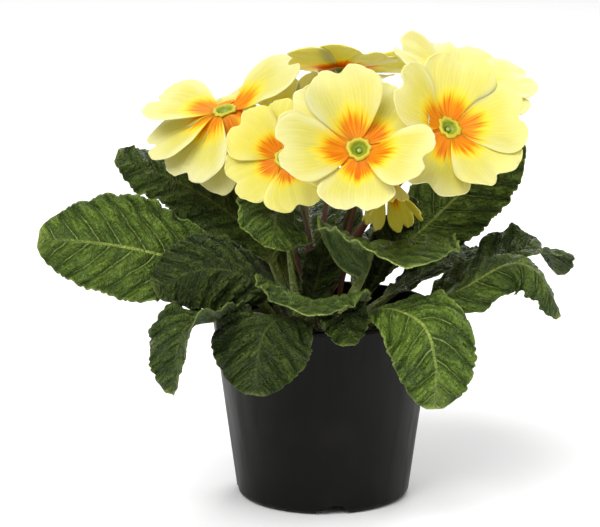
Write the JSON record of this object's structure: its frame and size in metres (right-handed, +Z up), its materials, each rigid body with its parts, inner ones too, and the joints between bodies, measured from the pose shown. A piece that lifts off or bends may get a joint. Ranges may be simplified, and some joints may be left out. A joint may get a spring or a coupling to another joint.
{
  "type": "potted primrose",
  "caption": "Potted primrose: tapered plastic grower's pot, soil, a rosette of puckered leaves and pale yellow blooms with orange centres on short stalks.",
  "frame": {"origin": "middle of the pot's flat underside, on the surface that it stands on", "axes": "+Z up along the pot's axis; the pictured side faces -Y; +X is to the right in that view"},
  "size_m": [0.2109, 0.1629, 0.1844],
  "materials": {
    "pot_plastic": "satin, near black",
    "soil": null,
    "leaf": null,
    "petal": null,
    "flower_stalk": null
  },
  "bodies": {
    "root": {"bloom_back": "petal", "bloom_back_left": "petal", "bloom_back_right": "petal", "bloom_left": "petal", "bloom_low": "petal", "bloom_middle": "petal", "bloom_right": "petal", "bloom_small": "petal", "leaf_back": "leaf", "leaf_back_left": "leaf", "leaf_back_right": "leaf", "leaf_east": "leaf", "leaf_east_back": "leaf", "leaf_front": "leaf", "leaf_front_high": "leaf", "leaf_front_left": "leaf", "leaf_front_left_curled": "leaf", "leaf_front_right": "leaf", "leaf_front_right_high": "leaf", "leaf_front_small": "leaf", "leaf_heart_east": "leaf", "leaf_heart_left": "leaf", "leaf_north": "leaf", "leaf_north_east": "leaf", "leaf_north_west": "leaf", "leaf_south_east": "leaf", "leaf_south_west": "leaf", "leaf_west": "leaf", "pot": "pot_plastic", "soil": "soil", "stalk_back": "flower_stalk", "stalk_back_left": "flower_stalk", "stalk_back_right": "flower_stalk", "stalk_left": "flower_stalk", "stalk_low": "flower_stalk", "stalk_middle": "flower_stalk", "stalk_right": "flower_stalk", "stalk_small": "flower_stalk"}
  },
  "joints": []
}
